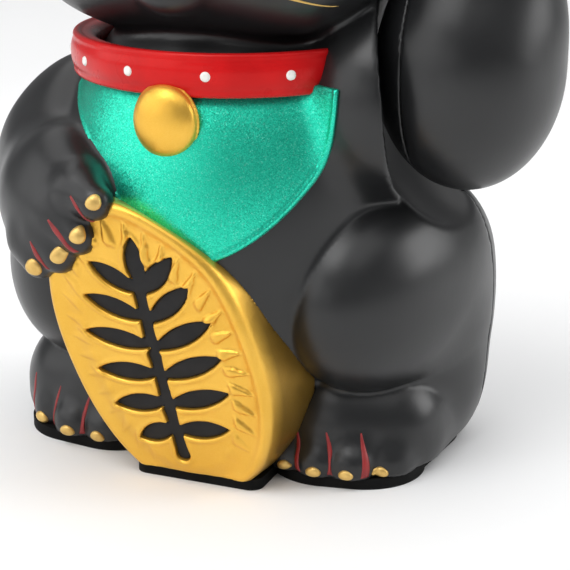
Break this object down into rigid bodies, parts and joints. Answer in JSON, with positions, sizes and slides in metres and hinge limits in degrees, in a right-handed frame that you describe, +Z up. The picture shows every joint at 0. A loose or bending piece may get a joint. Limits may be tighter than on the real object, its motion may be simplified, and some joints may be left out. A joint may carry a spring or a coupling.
{
  "type": "beckoning cat figurine",
  "caption": "Seated cat figurine holding an oval coin, with a raised arm that swings on a magnet-driven pendulum and a battery bay under its base.",
  "frame": {"origin": "centre of the flat underside of the base, on the surface that the cat stands on", "axes": "+Z up, the cat faces -Y, its left side with the raised arm is +X"},
  "size_m": [0.1539, 0.1109, 0.2],
  "materials": {
    "shell_black": "satin",
    "base_black": "matte",
    "collar_red": "gloss",
    "bib_glitter": "metallic glitter",
    "gold_paint": "satin metallic",
    "steel": "bright",
    "magnet_nickel": "nickel plated",
    "mechanism_white": "natural",
    "board_green": "gloss",
    "coil_copper": "enamelled",
    "part_black": "satin",
    "part_aluminium": "sleeved",
    "wire_red": "soft",
    "wire_black": "soft"
  },
  "bodies": {
    "housing": {"front_shell": "shell_black", "rear_shell": "shell_black", "koban_coin": "gold_paint", "collar_front": "collar_red", "collar_rear": "collar_red", "bell": "gold_paint", "bib": "bib_glitter", "base_plate": "base_black", "base_screws": "steel", "battery_cell": "part_aluminium", "contact_positive": "steel", "contact_negative": "steel", "circuit_board": "board_green", "board_screws": "steel", "coil_bobbin": "mechanism_white", "drive_coil": "coil_copper", "transistor": "part_black", "capacitor": "part_black", "battery_wire_red": "wire_red", "battery_wire_black": "wire_black", "pivot_bracket": "mechanism_white", "bracket_screws": "steel"},
    "waving_arm": {"arm_axle": "steel", "axle_clip": "steel", "pendulum_lever": "mechanism_white", "drive_magnet": "magnet_nickel", "counterweight": "steel", "arm_shell": "shell_black", "arm_cover": "shell_black"},
    "battery_door": {"battery_door": "base_black"}
  },
  "joints": [
    {"name": "arm_wave", "type": "hinge", "parent": "housing", "child": "waving_arm", "pos_m": [0, -0.008, 0.104], "axis": [1, 0, 0], "range_deg": [-20, 20]},
    {"name": "battery_door_hinge", "type": "hinge", "parent": "housing", "child": "battery_door", "pos_m": [0, 0.0255, 0.0014], "axis": [1, 0, 0], "range_deg": [0, 90]}
  ]
}
